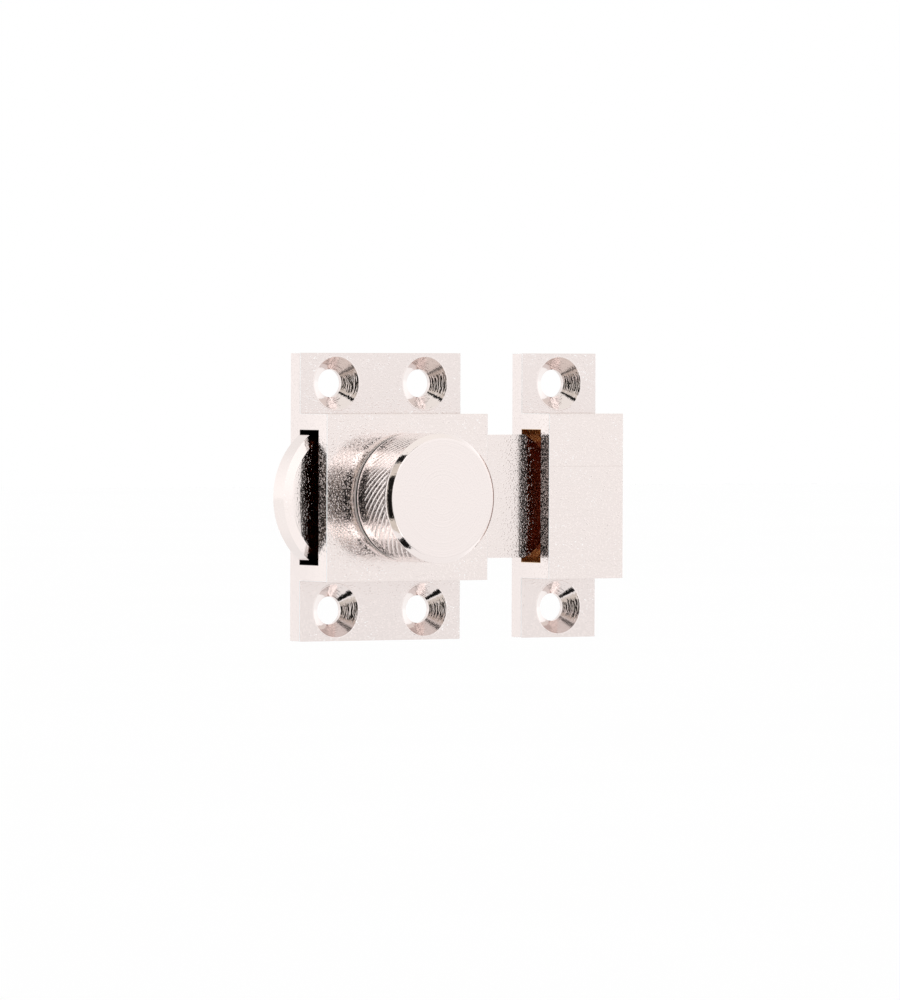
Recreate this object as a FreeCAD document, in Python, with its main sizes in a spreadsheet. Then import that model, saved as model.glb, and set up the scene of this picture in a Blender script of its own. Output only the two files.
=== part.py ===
import FreeCAD, Part
import math
import os
import Sketcher

# A small surface bolt worked by a round turn knob, with its keeper. Lengths are in millimetres.
# The rear faces, which lie on the door and its frame, are the plane Y = 0. Depth is measured
# forward from there, towards -Y. X is the way the bolt is thrown and Z is up. The origin is the
# middle of the case's rear face, behind the knob. The bolt is drawn thrown, in its keeper.

SIZES = {
    # the drawn section that case and keeper are cut from
    "plate_thick": "2.25",
    "box_height": "22.0",
    "side_wall": "2.15",
    "front_wall": "2.0",
    "case_length": "25.4",
    "keeper_length": "12.0",
    "edge_break": "0.06",
    # countersunk holes for wood screws
    "screw_bore": "3.7",
    "screw_head": "7.0",
    "screw_land": "0.5",
    "hole_margin": "5.7",
    # the bolt bar
    "bolt_side_gap": "0.65",
    "bolt_thick": "2.8",
    "bolt_floor_gap": "0.1",
    "end_bulge": "4.0",
    "bevel_length": "1.2",
    "bevel_depth": "0.3",
    "corner_stand": "0.2",
    "corner_reach": "0.77",
    # rack and pinion
    "gear_module": "0.6",
    "pinion_teeth": "11",
    "pressure_angle": "25.0",
    "addendum": "0.48",
    "dedendum": "0.6",
    "backlash": "0.06",
    "pinion_thick": "1.25",
    "pinion_bolt_gap": "0.15",
    "pinion_wall_gap": "0.25",
    "rack_setback": "0.1",
    "rack_back": "1.6",
    "rack_overrun": "2.0",
    "rivet_diameter": "1.0",
    "rivet_margin": "2.2",
    "turn_angle": "180.0",
    # knob and its spindle
    "knob_diameter": "17.0",
    "knob_thick": "7.85",
    "base_chamfer": "0.5",
    "base_land": "2.05",
    "rim_chamfer": "0.6",
    "rim_land": "0.2",
    "knurl_ribs": "52",
    "knurl_angle": "45.0",
    "knurl_depth": "0.15",
    "knurl_crest": "0.5",
    "knurl_drop": "0.02",
    "journal_diameter": "6.0",
    "journal_step": "0.1",
    "square_seat": "3.0",
    "tail_diameter": "3.0",
    "guide_gap": "0.1",
    "stop_gap": "0.1",
    # washers and the screw that holds the spindle in
    "washer_thick": "0.4",
    "washer_setback": "0.15",
    "washer_chamfer": "0.1",
    "recess_diameter": "6.8",
    "recess_depth": "1.2",
    "spring_diameter": "6.2",
    "spring_thick": "0.15",
    "spring_rise": "0.35",
    "screw_head_diameter": "4.6",
    "screw_head_thick": "0.65",
    "screw_thread": "2.0",
    "screw_length": "3.6",
    "thread_spare": "0.5",
    "driver_slot_width": "0.5",
    "driver_slot_depth": "0.3",
    # clearances
    "running_gap": "0.05",
    "fitted_gap": "0.02",
}

# lengths nearer to each other than this count as equal
CLOSE = 1e-4

# places worked out from the sizes, as expressions on the sheet
BOLT_REAR = "(sizes.plate_thick + sizes.bolt_floor_gap)"
BOLT_FRONT = "(%s + sizes.bolt_thick)" % BOLT_REAR
PINION_REAR = "(%s + sizes.pinion_bolt_gap)" % BOLT_FRONT
PINION_FRONT = "(%s + sizes.pinion_thick)" % PINION_REAR
CHANNEL_FRONT = "(%s + sizes.pinion_wall_gap)" % PINION_FRONT
BOX_FRONT = "(%s + sizes.front_wall)" % CHANNEL_FRONT
BOX_HALF = "(sizes.box_height / 2)"
CHANNEL_HALF = "(%s - sizes.side_wall)" % BOX_HALF
PLATE_HALF = "(%s + sizes.screw_head + 2 * sizes.screw_land)" % BOX_HALF
HOLE_ROW = "(%s + sizes.screw_head / 2 + sizes.screw_land)" % BOX_HALF
PITCH_RADIUS = "(sizes.gear_module * sizes.pinion_teeth / 2)"
PITCH = "(sizes.gear_module * pi)"
THROW = "(%s * sizes.turn_angle * pi / 180)" % PITCH_RADIUS
BOLT_HALF = "(sizes.case_length / 2 + %s / 2 + sizes.corner_stand)" % THROW
BOLT_HALF_WIDTH = "(%s - sizes.bolt_side_gap)" % CHANNEL_HALF
KEEPER_MIDDLE = (
    "(sizes.case_length / 2 + %s + sizes.corner_stand - sizes.corner_reach"
    " + sizes.keeper_length / 2)" % THROW
)
RACK_TIP = "(%s - sizes.addendum)" % PITCH_RADIUS
RACK_ROOT = "(%s + sizes.dedendum)" % PITCH_RADIUS
RACK_TOP = "(%s + sizes.rack_back)" % RACK_ROOT
RACK_HALF = "(%s / 2 + sizes.rack_overrun)" % THROW
RACK_FRONT = "(%s - sizes.rack_setback)" % PINION_FRONT
RACK_THICK = "(%s - %s)" % (RACK_FRONT, BOLT_FRONT)
RIVET_LINE = "(%s + sizes.rack_back / 2)" % RACK_ROOT
RIVET_HALF = "(%s - sizes.rivet_margin)" % RACK_HALF
JOURNAL_END = "(%s + sizes.journal_step)" % PINION_FRONT
TAIL_END = "(sizes.recess_depth - sizes.running_gap - sizes.spring_rise)"
TAIL_RADIUS = "(sizes.tail_diameter / 2)"
WASHER_BACK = "(%s + sizes.running_gap)" % BOX_FRONT
KNOB_BACK = "(%s + sizes.washer_thick)" % WASHER_BACK
KNOB_FACE = "(%s + sizes.knob_thick)" % KNOB_BACK
KNOB_RADIUS = "(sizes.knob_diameter / 2)"
RIM = "(%s - sizes.rim_chamfer)" % KNOB_FACE
KNURL_START = "(%s + sizes.base_land)" % KNOB_BACK
KNURL_END = "(%s - sizes.rim_land)" % RIM
JOURNAL_RADIUS = "(sizes.journal_diameter / 2)"
SCREW_REAR = "(%s - sizes.screw_head_thick)" % TAIL_END

doc = FreeCAD.newDocument("turn_bolt")
sheet = doc.addObject("Spreadsheet::Sheet", "sizes")
for row, (alias, number) in enumerate(SIZES.items(), start=1):
    sheet.set("A%d" % row, alias)
    sheet.set("B%d" % row, number)
    sheet.setAlias("B%d" % row, alias)
doc.recompute()


def value(expression):
    """The number that an expression on the sheet has now."""
    return float(sheet.evalExpression(expression))


def new_body(name):
    """An empty body whose label names the sub-part."""
    body = doc.addObject("PartDesign::Body", name)
    body.Label = name
    return body


def new_sketch(body, name, role, depth="0"):
    """A sketch on the body's own origin plane, set forward of it by depth."""
    sketch = body.newObject("Sketcher::SketchObject", name)
    planes = [plane for plane in body.Origin.OriginFeatures if plane.Role == role]
    sketch.AttachmentSupport = [(planes[0], "")]
    sketch.MapMode = "FlatFace"
    sketch.setExpression("AttachmentOffset.Base.z", depth)
    return sketch


def dimension(sketch, kind, references, expression):
    """A dimension in a sketch that follows an expression on the sheet."""
    number = value(expression)
    index = sketch.addConstraint(Sketcher.Constraint(kind, *references, number))
    sketch.setExpression("Constraints[%d]" % index, expression)


def pin(sketch, curve, point, across, up):
    """Hold a point of a curve at its place from the sketch's origin."""
    dimension(sketch, "DistanceX", (-1, 1, curve, point), across)
    dimension(sketch, "DistanceY", (-1, 1, curve, point), up)


def place(corner):
    """A corner, given as two expressions, as a point of the sketch's plane."""
    return FreeCAD.Vector(value(corner[0]), value(corner[1]), 0)


def outline(sketch, corners):
    """A closed outline of straight lines through the corners."""
    first = sketch.GeometryCount
    count = len(corners)
    for index, corner in enumerate(corners):
        following = corners[(index + 1) % count]
        sketch.addGeometry(Part.LineSegment(place(corner), place(following)), False)
    for index, corner in enumerate(corners):
        pin(sketch, first + index, 1, *corner)
        following = first + (index + 1) % count
        sketch.addConstraint(Sketcher.Constraint("Coincident", first + index, 2, following, 1))


def circle(sketch, across, up, radius):
    """A circle about a pinned centre."""
    centre = FreeCAD.Vector(value(across), value(up), 0)
    curve = sketch.addGeometry(Part.Circle(centre, FreeCAD.Vector(0, 0, 1), value(radius)), False)
    pin(sketch, curve, 3, across, up)
    dimension(sketch, "Radius", (curve,), radius)


def round_ended(sketch, half_length, half_width, to_centre):
    """A bar about the sketch's origin: straight long sides, and arcs centred at to_centre."""
    length = value(half_length)
    width = value(half_width)
    centre = value(to_centre)
    bend = math.hypot(length - centre, width)
    spread = math.atan2(width, length - centre)
    up = FreeCAD.Vector(0, 0, 1)
    first = sketch.GeometryCount
    for side in (1, -1):
        start = FreeCAD.Vector(side * length, side * width, 0)
        finish = FreeCAD.Vector(-side * length, side * width, 0)
        sketch.addGeometry(Part.LineSegment(start, finish), False)
        end_circle = Part.Circle(FreeCAD.Vector(-side * centre, 0, 0), up, bend)
        middle = math.pi if side > 0 else 0.0
        sketch.addGeometry(Part.ArcOfCircle(end_circle, middle - spread, middle + spread), False)
    for line, here, there in ((first, "", "-"), (first + 2, "-", "")):
        pin(sketch, line, 1, here + half_length, here + half_width)
        pin(sketch, line, 2, there + half_length, here + half_width)
        arc = line + 1
        next_line = first + 2 if line == first else first
        sketch.addConstraint(Sketcher.Constraint("Coincident", line, 2, arc, 1))
        sketch.addConstraint(Sketcher.Constraint("Coincident", arc, 2, next_line, 1))
        dimension(sketch, "DistanceX", (-1, 1, arc, 3), there + to_centre)


def pad(sketch, length, symmetric=False):
    """Raise a sketch towards its normal, or half of the length each way."""
    body = sketch.getParentGeoFeatureGroup()
    feature = body.newObject("PartDesign::Pad", sketch.Name + "_pad")
    feature.Profile = sketch
    feature.setExpression("Length", length)
    if symmetric:
        feature.SideType = "Symmetric"
    doc.recompute()
    return feature


def pocket(sketch, depth, forward=False):
    """Cut a sketch towards the rear of the bolt, or forward from a rear face."""
    body = sketch.getParentGeoFeatureGroup()
    feature = body.newObject("PartDesign::Pocket", sketch.Name + "_cut")
    feature.Profile = sketch
    feature.setExpression("Length", depth)
    feature.Reversed = forward
    doc.recompute()
    return feature


def turned(body, name, corners):
    """Turn a half profile, given as pairs of depth and radius, about the spindle's axis."""
    sketch = new_sketch(body, name, "YZ_Plane")
    outline(sketch, [("-" + depth, radius) for depth, radius in corners])
    feature = body.newObject("PartDesign::Revolution", name + "_turned")
    feature.Profile = sketch
    feature.ReferenceAxis = (sketch, ["H_Axis"])
    feature.Angle = 360
    doc.recompute()
    return feature


def edges_at_depth(feature, depth):
    """Names of the edges of a feature that lie whole at one depth."""
    found = []
    for index, edge in enumerate(feature.Shape.Edges, start=1):
        box = edge.BoundBox
        if abs(box.YMin + depth) < CLOSE and abs(box.YMax + depth) < CLOSE:
            found.append("Edge%d" % index)
    return found


def broken(body, name, feature, edges, size):
    """Break the named edges of the body's last feature with a flat at 45 degrees."""
    flats = body.newObject("PartDesign::Chamfer", name)
    flats.Base = (feature, edges)
    flats.setExpression("Size", size)
    doc.recompute()


def outer_edges(feature):
    """Names of the section's convex edges in front of its rear face and outside the channel."""
    found = []
    for index, edge in enumerate(feature.Shape.Edges, start=1):
        middle = edge.CenterOfMass
        depth = -middle.y
        up = abs(middle.z)
        at_rear = depth < CLOSE
        in_channel = up < value(CHANNEL_HALF) + CLOSE and depth < value(CHANNEL_FRONT) + CLOSE
        at_flange = abs(depth - value("sizes.plate_thick")) < CLOSE
        inner_corner = at_flange and abs(up - value(BOX_HALF)) < CLOSE
        if not (at_rear or in_channel or inner_corner):
            found.append("Edge%d" % index)
    return found


def drawn_section(name, length):
    """A length of the drawn section: screw flanges above and below a box with a channel."""
    body = new_body(name)
    section = new_sketch(body, name + "_section", "YZ_Plane")
    rear = "0"
    flange = "-sizes.plate_thick"
    front = "-" + BOX_FRONT
    outline(section, [
        (rear, "-" + PLATE_HALF),
        (rear, PLATE_HALF),
        (flange, PLATE_HALF),
        (flange, BOX_HALF),
        (front, BOX_HALF),
        (front, "-" + BOX_HALF),
        (flange, "-" + BOX_HALF),
        (flange, "-" + PLATE_HALF),
    ])
    outline(section, [
        (flange, "-" + CHANNEL_HALF),
        (flange, CHANNEL_HALF),
        ("-" + CHANNEL_FRONT, CHANNEL_HALF),
        ("-" + CHANNEL_FRONT, "-" + CHANNEL_HALF),
    ])
    drawn = pad(section, length, symmetric=True)
    broken(body, name + "_edges", drawn, outer_edges(drawn), "sizes.edge_break")
    return body


def screw_holes(body, columns):
    """Countersunk holes in both flanges, at the given distances from the body's middle."""
    holes = new_sketch(body, body.Name + "_holes", "XZ_Plane", "sizes.plate_thick")
    for across in columns:
        for up in (HOLE_ROW, "-" + HOLE_ROW):
            circle(holes, across, up, "sizes.screw_bore / 2")
    bored = pocket(holes, "sizes.plate_thick")
    mouths = []
    for index, edge in enumerate(bored.Shape.Edges, start=1):
        if edge.Degenerated or not isinstance(edge.Curve, Part.Circle):
            continue
        at_front = abs(edge.Curve.Center.y + value("sizes.plate_thick")) < CLOSE
        if at_front and abs(edge.Curve.Radius - value("sizes.screw_bore / 2")) < CLOSE:
            mouths.append("Edge%d" % index)
    half_widening = "(sizes.screw_head - sizes.screw_bore) / 2"
    broken(body, body.Name + "_countersinks", bored, mouths, half_widening)


def make_case():
    """Case: section, four screw holes, spindle bearings and the recess behind them."""
    body = drawn_section("case", "sizes.case_length")
    column = "(sizes.case_length / 2 - sizes.hole_margin)"
    screw_holes(body, ("-" + column, column))
    bearing = new_sketch(body, "front_bearing", "XZ_Plane", BOX_FRONT)
    circle(bearing, "0", "0", "%s + sizes.running_gap" % JOURNAL_RADIUS)
    pocket(bearing, "sizes.front_wall")
    floor_bearing = new_sketch(body, "floor_bearing", "XZ_Plane", "sizes.plate_thick")
    circle(floor_bearing, "0", "0", "%s + sizes.running_gap" % TAIL_RADIUS)
    pocket(floor_bearing, "sizes.plate_thick")
    recess = new_sketch(body, "screw_recess", "XZ_Plane")
    circle(recess, "0", "0", "sizes.recess_diameter / 2")
    pocket(recess, "sizes.recess_depth", forward=True)
    return body


def make_keeper():
    """Keeper: a shorter length of the section, with a hole in the middle of each flange."""
    body = drawn_section("keeper", "sizes.keeper_length")
    screw_holes(body, ("0",))
    body.setExpression("Placement.Base.x", KEEPER_MIDDLE)
    return body


def make_bolt():
    """Bolt bar: bulging ends with a lead-in bevel, a guide slot, and holes for the rack."""
    body = new_body("bolt")
    bar = new_sketch(body, "bar", "XZ_Plane", BOLT_REAR)
    end_radius = "(%s ^ 2 + sizes.end_bulge ^ 2) / (2 * sizes.end_bulge)" % BOLT_HALF_WIDTH
    end_centre = "(%s + sizes.end_bulge - %s)" % (BOLT_HALF, end_radius)
    round_ended(bar, BOLT_HALF, BOLT_HALF_WIDTH, end_centre)
    bar_pad = pad(bar, "sizes.bolt_thick")
    front_edges = edges_at_depth(bar_pad, value(BOLT_FRONT))
    arcs = [name for name in front_edges
            if isinstance(bar_pad.Shape.getElement(name).Curve, Part.Circle)]
    bevel = body.newObject("PartDesign::Chamfer", "lead_in_bevel")
    bevel.Base = (bar_pad, arcs)
    bevel.ChamferType = "Two distances"
    bevel.setExpression("Size", "sizes.bevel_depth")
    bevel.setExpression("Size2", "sizes.bevel_length")
    doc.recompute()
    slot = new_sketch(body, "guide_slot", "XZ_Plane", BOLT_FRONT)
    slot_half = "(%s / 2 + sizes.stop_gap)" % THROW
    slot_radius = "(%s + sizes.guide_gap)" % TAIL_RADIUS
    round_ended(slot, slot_half, slot_radius, slot_half)
    pocket(slot, "sizes.bolt_thick")
    holes = new_sketch(body, "rivet_holes", "XZ_Plane", BOLT_FRONT)
    for across in ("-" + RIVET_HALF, RIVET_HALF):
        circle(holes, across, RIVET_LINE, "sizes.rivet_diameter / 2 + sizes.fitted_gap")
    pocket(holes, "sizes.bolt_thick")
    body.setExpression("Placement.Base.x", THROW + " / 2")
    return body


def make_rack():
    """Rack: a strip lying on the bolt's face, its teeth turned down to the pinion."""
    body = new_body("rack")
    strip = new_sketch(body, "strip", "XZ_Plane", BOLT_FRONT)
    outline(strip, [
        ("-" + RACK_HALF, RACK_TIP),
        (RACK_HALF, RACK_TIP),
        (RACK_HALF, RACK_TOP),
        ("-" + RACK_HALF, RACK_TOP),
    ])
    pad(strip, RACK_THICK)
    gap = new_sketch(body, "tooth_gap", "XZ_Plane", RACK_FRONT)
    first_gap = "(-%s / 2 - %s)" % (THROW, PITCH)
    half_gap = "(%s / 4 + sizes.backlash / 2)" % PITCH
    lean = "tan(sizes.pressure_angle)"
    mouth = "(%s + sizes.addendum * %s)" % (half_gap, lean)
    root = "(%s - sizes.dedendum * %s)" % (half_gap, lean)
    outline(gap, [
        ("%s - %s" % (first_gap, mouth), RACK_TIP),
        ("%s + %s" % (first_gap, mouth), RACK_TIP),
        ("%s + %s" % (first_gap, root), RACK_ROOT),
        ("%s - %s" % (first_gap, root), RACK_ROOT),
    ])
    gap_cut = pocket(gap, RACK_THICK)
    gaps = body.newObject("PartDesign::LinearPattern", "tooth_gaps")
    gaps.Originals = [gap_cut]
    gaps.Direction = (gap, ["H_Axis"])
    gap_count = int((value(THROW) + 2 * value("sizes.rack_overrun")) / value(PITCH)) + 1
    gaps.setExpression("Length", "%s * %d" % (PITCH, gap_count - 1))
    gaps.Occurrences = gap_count
    body.Tip = gaps
    doc.recompute()
    holes = new_sketch(body, "rack_holes", "XZ_Plane", RACK_FRONT)
    for across in ("-" + RIVET_HALF, RIVET_HALF):
        circle(holes, across, RIVET_LINE, "sizes.rivet_diameter / 2 + sizes.fitted_gap")
    pocket(holes, RACK_THICK)
    body.setExpression("Placement.Base.x", THROW + " / 2")
    return body


def make_rack_rivets():
    """Two flush rivets that hold the rack to the bolt."""
    rivets = []
    for name, side in (("rear_rivet", "-"), ("front_rivet", "")):
        rivet = doc.addObject("Part::Cylinder", name)
        rivet.setExpression("Radius", "sizes.rivet_diameter / 2")
        rivet.setExpression("Height", "sizes.bolt_thick + " + RACK_THICK)
        rivet.Placement.Rotation = FreeCAD.Rotation(FreeCAD.Vector(1, 0, 0), 90)
        rivet.setExpression("Placement.Base.x", "%s / 2 + %s%s" % (THROW, side, RIVET_HALF))
        rivet.setExpression("Placement.Base.y", "-" + BOLT_REAR)
        rivet.setExpression("Placement.Base.z", RIVET_LINE)
        rivets.append(rivet)
    group = doc.addObject("Part::Compound", "rack_rivets")
    group.Links = rivets
    group.Label = "rack_rivets"
    return group


def make_knob_blank():
    """Knob and spindle as turned: rim, journal, square seat and a tail tapped for the screw."""
    body = new_body("knob_blank")
    turned(body, "knob_profile", [
        (TAIL_END, "0"),
        (TAIL_END, TAIL_RADIUS),
        (JOURNAL_END, TAIL_RADIUS),
        (JOURNAL_END, JOURNAL_RADIUS),
        (KNOB_BACK, JOURNAL_RADIUS),
        (KNOB_BACK, "(%s - sizes.base_chamfer)" % KNOB_RADIUS),
        ("(%s + sizes.base_chamfer)" % KNOB_BACK, KNOB_RADIUS),
        (RIM, KNOB_RADIUS),
        (KNOB_FACE, "(%s - sizes.rim_chamfer)" % KNOB_RADIUS),
        (KNOB_FACE, "0"),
    ])
    seat = new_sketch(body, "square_seat", "XZ_Plane", PINION_REAR)
    half = "(sizes.square_seat / 2)"
    outline(seat, [("-" + half, "-" + half), (half, "-" + half), (half, half), ("-" + half, half)])
    pad(seat, "%s - %s" % (JOURNAL_END, PINION_REAR))
    tapped = new_sketch(body, "tapped_hole", "XZ_Plane", TAIL_END)
    circle(tapped, "0", "0", "sizes.screw_thread / 2 + sizes.fitted_gap")
    pocket(tapped, "sizes.screw_length + sizes.thread_spare", forward=True)
    return body


def polar(radius, angle, depth=0.0):
    """A point about the spindle's axis, its angle taken from the upward axis towards +X."""
    return FreeCAD.Vector(radius * math.sin(angle), -depth, radius * math.cos(angle))


def knurl_row(depth, turn, cut):
    """One row of corners round the rim: a flat crest and the foot of a V for every rib."""
    crest_radius = value(KNOB_RADIUS + " - sizes.knurl_drop")
    half_crest = value("sizes.knurl_crest") / (2 * crest_radius)
    ribs = int(value("sizes.knurl_ribs"))
    step = 2 * math.pi / ribs
    corners = []
    for rib in range(ribs):
        middle = turn + rib * step
        corners.append(polar(crest_radius, middle - half_crest, depth))
        corners.append(polar(crest_radius, middle + half_crest, depth))
        corners.append(polar(crest_radius - cut, middle + step / 2, depth))
    return corners


def make_ribs(start, finish, cut):
    """A core with the knurl's ribs in flat facets. They lean, and run out at both ends."""
    lean = math.tan(math.radians(value("sizes.knurl_angle"))) / value(KNOB_RADIUS)
    full = (finish - start) - 2 * cut
    rows = [knurl_row(start, start * lean, 0.0)]
    for share in (0.0, 0.25, 0.5, 0.75, 1.0):
        depth = start + cut + share * full
        rows.append(knurl_row(depth, depth * lean, cut))
    rows.append(knurl_row(finish, finish * lean, 0.0))
    loops = [rows[0], rows[-1]]
    for here, there in zip(rows, rows[1:]):
        for index in range(len(here)):
            back = index - 1
            loops.append((here[back], here[index], there[back]))
            loops.append((here[index], there[index], there[back]))
    faces = [Part.Face(Part.makePolygon([*loop, loop[0]])) for loop in loops]
    shell = Part.makeShell(faces)
    shell.sewShape()
    return Part.makeSolid(shell)


def make_knurl_waste():
    """The metal that the knurl takes off: a ring round the rim less the ribs."""
    start = value(KNURL_START)
    band = value(KNURL_END) - start
    cut = value("sizes.knurl_depth")
    forward = FreeCAD.Vector(0, -1, 0)
    ring = Part.makeCylinder(value(KNOB_RADIUS) + cut, band, forward * start, forward)
    waste = doc.addObject("Part::Feature", "knurl_waste")
    waste.Shape = ring.cut(make_ribs(start, start + band, cut))
    return waste


def make_knob():
    """Knob: the turned blank less what the knurl takes off its rim."""
    knob = doc.addObject("Part::Cut", "knob")
    knob.Base = make_knob_blank()
    knob.Tool = make_knurl_waste()
    knob.Label = "knob"
    return knob


def involute(angle):
    """The involute function of a pressure angle in radians."""
    return math.tan(angle) - angle


def tooth_flank(pitch_radius, teeth, pressure, tip_radius):
    """One flank of a tooth from the base circle out, as radii and half angles of the tooth."""
    base_radius = pitch_radius * math.cos(pressure)
    flank = []
    for share in (0.0, 0.25, 0.5, 0.75, 1.0):
        radius = base_radius + (tip_radius - base_radius) * share
        working = math.acos(min(base_radius / radius, 1.0))
        half_angle = math.pi / (2 * teeth) + involute(pressure) - involute(working)
        flank.append((radius, half_angle))
    return flank


def arc_between(radius, start, finish):
    """An arc about the gear's axis from one angle to another."""
    middle = (start + finish) / 2
    return Part.Arc(polar(radius, start), polar(radius, middle), polar(radius, finish)).toShape()


def gear_outline(pitch_radius, teeth, pressure, tip_radius, root_radius):
    """A closed wire of root arcs, radial roots, involute flanks and tip arcs, tooth by tooth."""
    flank = tooth_flank(pitch_radius, teeth, pressure, tip_radius)
    base_radius, base_angle = flank[0]
    tip_angle = flank[-1][1]
    pitch_angle = 2 * math.pi / teeth
    edges = []
    for tooth in range(teeth):
        centre = tooth * pitch_angle
        rising = Part.BSplineCurve()
        rising.interpolate([polar(radius, centre - angle) for radius, angle in flank])
        falling = Part.BSplineCurve()
        falling.interpolate([polar(radius, centre + angle) for radius, angle in reversed(flank)])
        left = centre - base_angle
        right = centre + base_angle
        edges.append(Part.LineSegment(polar(root_radius, left), polar(base_radius, left)).toShape())
        edges.append(rising.toShape())
        edges.append(arc_between(tip_radius, centre - tip_angle, centre + tip_angle))
        edges.append(falling.toShape())
        edges.append(Part.LineSegment(polar(base_radius, right), polar(root_radius, right)).toShape())
        edges.append(arc_between(root_radius, right, centre + pitch_angle - base_angle))
    return Part.Wire(edges)


def make_pinion():
    """Pinion: involute teeth, one of them upright, round the square hole for the spindle."""
    pitch_radius = value(PITCH_RADIUS)
    wire = gear_outline(
        pitch_radius,
        int(value("sizes.pinion_teeth")),
        math.radians(value("sizes.pressure_angle")),
        pitch_radius + value("sizes.addendum"),
        pitch_radius - value("sizes.dedendum"),
    )
    thickness = value("sizes.pinion_thick")
    blank = Part.Face(wire).extrude(FreeCAD.Vector(0, -thickness, 0))
    side = value("sizes.square_seat + 2 * sizes.fitted_gap")
    corner = FreeCAD.Vector(-side / 2, -thickness, -side / 2)
    square = Part.makeBox(side, thickness, side, corner)
    pinion = doc.addObject("Part::Feature", "pinion")
    pinion.Shape = blank.cut(square)
    pinion.Placement.Base = FreeCAD.Vector(0, -value(PINION_REAR), 0)
    pinion.Label = "pinion"
    return pinion


def make_friction_washer():
    """Flat washer between knob and case, a little narrower than the knob, its outer edges broken."""
    body = new_body("friction_washer")
    bore = "(%s + sizes.running_gap)" % JOURNAL_RADIUS
    rim = "(%s - sizes.washer_setback)" % KNOB_RADIUS
    edge = "(%s - sizes.washer_chamfer)" % rim
    turned(body, "friction_profile", [
        (WASHER_BACK, bore),
        (WASHER_BACK, edge),
        ("(%s + sizes.washer_chamfer)" % WASHER_BACK, rim),
        ("(%s - sizes.washer_chamfer)" % KNOB_BACK, rim),
        (KNOB_BACK, edge),
        (KNOB_BACK, bore),
    ])
    return body


def make_spring_washer():
    """Coned washer in the case's recess, round the end of the spindle's tail."""
    body = new_body("spring_washer")
    inner = "(%s + sizes.running_gap)" % TAIL_RADIUS
    outer = "(sizes.spring_diameter / 2)"
    rim = "(%s + sizes.spring_rise)" % TAIL_END
    turned(body, "spring_profile", [
        (TAIL_END, inner),
        ("(%s + sizes.spring_thick)" % TAIL_END, inner),
        (rim, outer),
        ("(%s - sizes.spring_thick)" % rim, outer),
    ])
    return body


def make_spindle_screw():
    """Slotted screw whose head holds the spring washer against the case."""
    body = new_body("spindle_screw")
    head = "(sizes.screw_head_diameter / 2)"
    thread = "(sizes.screw_thread / 2)"
    thread_end = "(%s + sizes.screw_length)" % TAIL_END
    turned(body, "screw_profile", [
        (SCREW_REAR, "0"),
        (SCREW_REAR, head),
        (TAIL_END, head),
        (TAIL_END, thread),
        (thread_end, thread),
        (thread_end, "0"),
    ])
    slot = new_sketch(body, "driver_slot", "XZ_Plane", SCREW_REAR)
    half_width = "(sizes.driver_slot_width / 2)"
    outline(slot, [
        ("-" + head, "-" + half_width),
        (head, "-" + half_width),
        (head, half_width),
        ("-" + head, half_width),
    ])
    pocket(slot, "sizes.driver_slot_depth", forward=True)
    return body


parts = [
    make_case(),
    make_keeper(),
    make_bolt(),
    make_rack(),
    make_rack_rivets(),
    make_knob(),
    make_pinion(),
    make_friction_washer(),
    make_spring_washer(),
    make_spindle_screw(),
]
doc.recompute()

for item in doc.Objects:
    if "Invalid" in item.State or "Error" in item.State:
        raise RuntimeError("%s did not compute: %s" % (item.Name, item.State))
    if item.TypeId == "PartDesign::Pocket":
        removed = item.BaseFeature.Shape.Volume - item.Shape.Volume
        if removed <= 0:
            raise RuntimeError("%s cuts nothing" % item.Name)
for part in parts:
    if part.Shape.isNull() or not part.Shape.isValid():
        raise RuntimeError("%s has no sound shape" % part.Label)

os.makedirs("parts", exist_ok=True)
for part in parts:
    part.Shape.exportStep("parts/%s.step" % part.Label)
    print(part.Label, len(part.Shape.Solids), round(part.Shape.Volume, 3))
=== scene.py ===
"""A small nickel surface bolt with a turn knob, dressed around its fixed CAD frame. Lengths are metres."""
import math

import bpy
import numpy as np
from mathutils import Matrix, Vector


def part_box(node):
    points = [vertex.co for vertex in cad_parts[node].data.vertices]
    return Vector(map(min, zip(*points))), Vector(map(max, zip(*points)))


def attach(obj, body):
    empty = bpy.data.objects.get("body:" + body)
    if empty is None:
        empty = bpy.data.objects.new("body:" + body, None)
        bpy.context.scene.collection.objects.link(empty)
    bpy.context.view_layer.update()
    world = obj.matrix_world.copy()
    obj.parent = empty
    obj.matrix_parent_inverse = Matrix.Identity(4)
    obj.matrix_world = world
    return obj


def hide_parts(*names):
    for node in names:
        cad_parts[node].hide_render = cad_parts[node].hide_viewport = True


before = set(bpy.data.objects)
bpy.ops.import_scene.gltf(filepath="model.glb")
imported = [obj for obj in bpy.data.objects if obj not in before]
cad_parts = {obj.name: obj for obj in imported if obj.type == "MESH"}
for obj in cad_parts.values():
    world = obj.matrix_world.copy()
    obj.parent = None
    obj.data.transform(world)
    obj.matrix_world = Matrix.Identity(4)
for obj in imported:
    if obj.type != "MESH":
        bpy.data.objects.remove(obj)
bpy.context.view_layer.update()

MM = 0.001

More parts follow.
